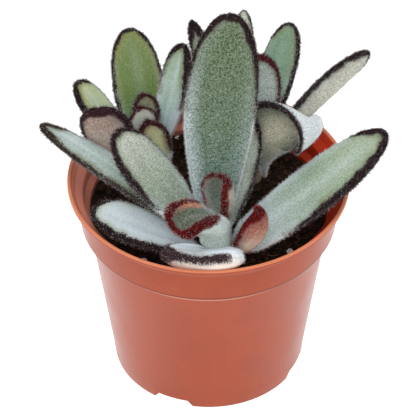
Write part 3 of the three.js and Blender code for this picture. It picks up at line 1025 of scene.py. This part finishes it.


# %% [markdown]
# ## Looks of the leaves
# Old outer leaves are bluish grey-green, leaves in more light are yellower, and the young ones
# in the middle have red hair. A look says this in a few words, and lengths are in millimetres:
# - low, middle and high are the felt from base to tip, and high is reached at ripe. under_low and
#   under are the underside, which changes from one to the other at fold.
# - fuzz is how strongly single hairs show, rib how strongly the painted midrib highlight does.
# - margin_sheen and margin_sheen_right are the painted sheen on white hair beside the left and
#   right margin, and sheen_veil is its width.
# - left, right and tip are the widths of the dark band, seen from the base. It begins at start,
#   within fade, and below is its share underneath. A share glitter of it has the colour spark.
# - glow colours the skin next to the band, as far as halo. It keeps the share stain underneath,
#   blotch and speckle break it up, and glow_left, glow_right and glow_to say where it shows.
# - hair and band_hair name the hair that stands on the felt and on the band.

# %% Leaf looks
BASIC = dict(
    low=(146, 166, 154), middle=(128, 148, 124), high=(124, 142, 100), ripe=0.92,
    under=(186, 184, 168), fold=0.7, fuzz=0.9, rib=0.25, margin_sheen=0.6, margin_sheen_right=0.6, sheen_veil=3.6,
    left=1.4, right=1.4, tip=2.2, start=0.4, fade=0.2, below=0.8, band=(30, 17, 20),
    spark=(190, 160, 160), glitter=0.07, glow=(112, 116, 70), halo=2.4, stain=0.5, blotch=0.55,
    speckle=0.3, glow_left=1.0, glow_right=1.0, glow_to=1.2, hair="pale", band_hair="dark",
    slot="leaf")
YOUNG = dict(
    BASIC, low=(176, 194, 188), middle=(140, 154, 134), high=(116, 124, 84), under=(184, 196, 188),
    fuzz=0.7, rib=0.1, margin_sheen=0.4, margin_sheen_right=0.4, tip=2.0, start=0.3, below=0.9, band=(48, 0, 5),
    spark=(236, 50, 40), glitter=0.35, glow=(220, 112, 26), halo=1.1, blotch=0.7, band_hair="red",
    slot="young_leaf")
PALE = dict(
    low=(214, 227, 236), middle=(208, 222, 231), high=(200, 212, 216), fuzz=0.3, rib=0.1,
    glow=(166, 172, 148))
YELLOW = dict(
    low=(98, 138, 88), middle=(98, 122, 58), high=(116, 132, 78), fuzz=0.3, rib=0.1, margin_sheen=0.3,
    glow=(124, 124, 56))
WINE = dict(
    band=(48, 12, 20), spark=(200, 120, 120), glitter=0.1, glow=(140, 126, 84), band_hair="wine")
LOOKS = {
    "front_tall": dict(
        low=(66, 104, 98), middle=(66, 96, 58), high=(64, 88, 26), fuzz=1.0, rib=0.0,
        margin_sheen_right=0.2, sheen_veil=6.5, left=1.5, tip=2.5, start=0.42, fade=0.45, glow=(86, 84, 46)),
    "front_left": dict(
        low=(148, 164, 154), middle=(152, 166, 146), high=(198, 203, 190), rib=0.0, left=2.0,
        right=0.8, tip=2.0, start=0.3, fade=0.3, glow=(136, 142, 112)),
    "front_low_left": dict(PALE, left=2.2, right=0.3, tip=1.8, start=0.15),
    "front_rim": dict(
        PALE, low=(232, 241, 252), middle=(232, 241, 252), high=(232, 241, 252),
        under=(236, 218, 204), fuzz=0.1, left=0.0, right=1.9, tip=1.0, start=0.1, below=1.0,
        band=(58, 38, 44), glow=(196, 190, 186), band_hair="mauve"),
    "front_right": dict(
        low=(182, 198, 204), middle=(142, 163, 140), high=(156, 172, 146), fuzz=0.55, rib=0.3,
        margin_sheen_right=0.5, left=0.0, right=2.7, tip=2.7, start=0.2, fade=0.4, glow=(112, 114, 68)),
    "front_back": dict(
        low=(184, 202, 186), middle=(194, 206, 192), high=(176, 186, 168), left=0.4, right=1.0,
        tip=1.8, start=0.1),
    "front_far_left": dict(
        low=(120, 148, 132), middle=(158, 182, 170), high=(192, 206, 208), fuzz=0.6, left=1.0,
        right=0.0, start=0.1, band=(44, 36, 26)),
    "left_broad": dict(YELLOW, left=1.1, right=1.1, tip=1.7, start=0.2),
    "left_channelled": dict(
        low=(164, 194, 200), middle=(168, 194, 178), high=(160, 182, 156), fuzz=0.4, rib=0.6,
        left=0.4, right=2.0, tip=2.0, start=0.3, fade=0.5),
    "left_side": dict(
        YELLOW, low=(192, 210, 182), middle=(194, 209, 166), high=(184, 194, 146), rib=0.5,
        right=0.3, tip=1.8, start=0.1),
    "left_near": dict(
        under=(166, 134, 118), under_low=(240, 218, 208), fold=0.9, margin_sheen=0.75, margin_sheen_right=0.1,
        sheen_veil=5.5, left=2.2, right=2.0, tip=2.6, start=0.2, fade=0.5, below=1.1, band=(44, 18, 26),
        glow=(120, 84, 78), halo=3.0),
    "left_low": dict(low=(100, 110, 84), middle=(98, 106, 76), left=0.8, right=0.8),
    "right_hooded": dict(
        low=(176, 182, 168), middle=(232, 228, 202), high=(222, 220, 198), under=(242, 248, 253),
        rib=0.0, left=2.0, right=0.3, tip=2.0, start=0.3, below=0.5, glow=(56, 72, 22), halo=9.0,
        stain=0.0, blotch=0.0, speckle=0.0, glow_to=1.0),
    "right_arched": dict(
        under=(200, 198, 184), left=0.3, right=1.7, start=0.1, below=0.9, glow=(134, 128, 94)),
    "right_back": dict(
        low=(138, 162, 148), middle=(110, 142, 120), high=(106, 136, 108), fuzz=0.3, rib=0.1,
        left=0.3, tip=1.5, start=0.2),
    "right_small": dict(
        low=(198, 208, 210), middle=(192, 204, 200), high=(172, 182, 176), left=0.5, right=1.0,
        start=0.3, band=(72, 12, 24)),
    "right_inner": dict(
        middle=(226, 232, 214), high=(228, 234, 210), left=0.4, right=0.4, tip=0.8, start=0.6),
    "right_crossing": dict(
        middle=(170, 176, 166), high=(150, 150, 140), under=(206, 208, 204), left=1.2, right=0.6,
        tip=3.0, start=0.5),
    "front_young_left": dict(
        middle=(84, 94, 72), high=(56, 62, 38), left=1.2, right=0.8, tip=1.8, start=0.42, below=1.4,
        glow=(255, 120, 0), halo=2.4, blotch=0.0, speckle=0.4, glow_left=0.0, glow_to=0.8),
    "front_young_back": dict(
        low=(104, 118, 106), middle=(84, 98, 88), high=(84, 90, 72), under=(180, 178, 164), rib=0.3,
        left=0.7, right=1.7, tip=1.8, start=0.2, below=1.3, band=(60, 14, 16), glow=(150, 84, 56),
        halo=2.2, stain=1.0),
    "front_young_right": dict(
        under=(150, 76, 48), under_low=(232, 222, 200), fold=0.86, left=1.6, right=1.6, tip=2.4,
        glow=(112, 30, 22), halo=3.0, stain=1.0, blotch=0.2, hair="rust"),
    "left_young_back": dict(
        WINE, middle=(150, 156, 120), high=(130, 128, 90), left=1.1, right=1.3, tip=1.7),
    "left_young_middle": dict(
        WINE, low=(222, 234, 226), middle=(214, 226, 212), high=(206, 204, 190), fuzz=0.4, left=1.0,
        right=1.2, tip=1.5, glow=(190, 152, 144)),
    "left_young_near": dict(
        WINE, middle=(204, 212, 156), high=(176, 168, 120), fuzz=0.4, right=1.5, tip=2.6,
        glow=(130, 100, 66), halo=2.4),
}

# %% Grow every leaf
total = 0
for seed, (name, numbers) in enumerate(LEAVES.items(), 100):
    look = {**(YOUNG if "young" in name else BASIC), **LOOKS.get(name, {})}
    look.setdefault("under_low", look["under"])
    for word, value in look.items():
        if isinstance(value, tuple):
            look[word] = tone(*value)
    leaf, blade, marks = grow_leaf(name, numbers, look)
    total += len(leaf.data.polygons) * 2 + grow_hair(leaf, blade, marks, look, seed)
print("triangles in the leaves and their hair:", total)


# %% [markdown]
# ## Stems
# Each rosette stands on a short, soft-wooded stem, mostly hidden by the necks of the leaves. It is
# turned, made a little uneven, ringed by the scars of shed leaves, and as felted as the leaves.

# %% Stems
def stem_finish():
    finish = Finish("stem_felt")
    bark = finish.grain(1.4, 3, stretch=(1, 1, 0.35))
    hairs = finish.grain(0.3, 2, 0.7)
    base = finish.mix(finish.step(bark, 0.38, 0.64), tone(112, 96, 66), tone(150, 146, 118))
    base = finish.mix(finish.step(hairs, 0.45, 0.66) * 0.6, base, tone(206, 208, 192))
    relief = finish.bump(bark * 0.8 + hairs * 0.4, 0.4, 0.7)
    return finish.surface(
        Base_Color=base, Roughness=0.92, Normal=relief, Specular_IOR_Level=0.15, Sheen_Weight=0.3)


STEM_FOOT = 44.6
STEM_BODY_RADIUS = 2.95
SCAR_HEIGHT = 0.22
stem_skin = stem_finish()
for rosette, (x, y, top) in STEMS.items():
    heights = np.linspace(45.5, top - 1.6, 44)
    outline = [(0.0, STEM_FOOT), (2.4, STEM_FOOT)]
    outline += [(STEM_BODY_RADIUS + SCAR_HEIGHT * math.sin(h * 1.9) ** 8, h) for h in heights]
    outline += [(2.5, top - 0.9), (1.6, top - 0.3), (0.0, top)]
    stem = lathe(f"{rosette}_stem_body", outline, 32, (x, y))
    for vertex in stem.data.vertices:
        away = Vector((vertex.co.x - x * MM, vertex.co.y - y * MM, 0))
        vertex.co += away * 0.14 * noise.noise(vertex.co / MM / 2.4)
    pick(stem)
    bpy.ops.object.shade_smooth()
    settle(stem, stem_skin, "stem", f"{rosette}_stem")
print("stems:", len(STEMS))


# %% [markdown]
# ## Studio
# A plain white sweep, a bright even surround and four large soft lights give the shadowless look
# of a catalogue picture. The lights are big and near, so that every shadow edge is soft.

# %% Floor
deselect()
bpy.ops.mesh.primitive_plane_add(size=6)
floor = bpy.context.object
floor.name = "studio_floor"
floor.data.materials.append(Finish("white_sweep").surface(
    Base_Color=(0.4, 0.4, 0.4, 1), Roughness=0.9, Specular_IOR_Level=0.1,
    Emission_Color=(1, 1, 1, 1), Emission_Strength=1.0))
print("floor:", floor.name)

# %% Lights
LIGHTS = {
    # place, size in metres and watts
    "soft_top": ((-0.15, 0.05, 0.9), 0.7, 3.4),
    "soft_front": ((0.1, -1.0, 0.75), 0.8, 4.4),
    "soft_left": ((-0.85, -0.45, 0.6), 0.6, 1.9),
    "soft_right": ((0.9, -0.3, 0.55), 0.6, 1.5),
}
LIT_POINT = Vector((0, 0, 0.07))
for name, (place, size, watts) in LIGHTS.items():
    lamp = bpy.data.lights.new(name, "AREA")
    lamp.shape = "SQUARE"
    lamp.size = size
    lamp.energy = watts
    light = add_object(name, lamp)
    light.location = place
    light.rotation_euler = (LIT_POINT - Vector(place)).to_track_quat("-Z", "Y").to_euler()
print("lights:", len(LIGHTS))

# %% Surround
world = bpy.data.worlds.new("white_room")
bpy.context.scene.world = world
world.use_nodes = True
world.node_tree.nodes["Background"].inputs["Color"].default_value = (1, 1, 1, 1)
world.node_tree.nodes["Background"].inputs["Strength"].default_value = 0.55
bpy.context.scene.view_settings.view_transform = "Standard"
print("surround:", world.name)

# %% [markdown]
# ## Camera
# A long lens from a little over a metre, looking down at 41 degrees, keeps the verticals of the
# pot nearly parallel. The frame is square.

# %% Camera
LOOK_DOWN = math.radians(40.98)
DISTANCE = 1.18
AIM = Vector((0, 0, 0.05916))
SENSOR = 36
FRAME_PIXELS = 416
FOCAL_PIXELS = 3684
SHIFT_PIXELS = -0.55
lens = bpy.data.cameras.new("camera")
lens.sensor_width = SENSOR
lens.lens = FOCAL_PIXELS / FRAME_PIXELS * SENSOR
lens.shift_x = SHIFT_PIXELS / FRAME_PIXELS
lens.clip_start = 0.05
lens.clip_end = 20
camera = add_object("camera", lens)
camera.location = AIM + DISTANCE * Vector((0, -math.cos(LOOK_DOWN), math.sin(LOOK_DOWN)))
camera.rotation_euler = (math.pi / 2 - LOOK_DOWN, 0, 0)
bpy.context.scene.camera = camera
print("camera at", [round(value, 3) for value in camera.location])
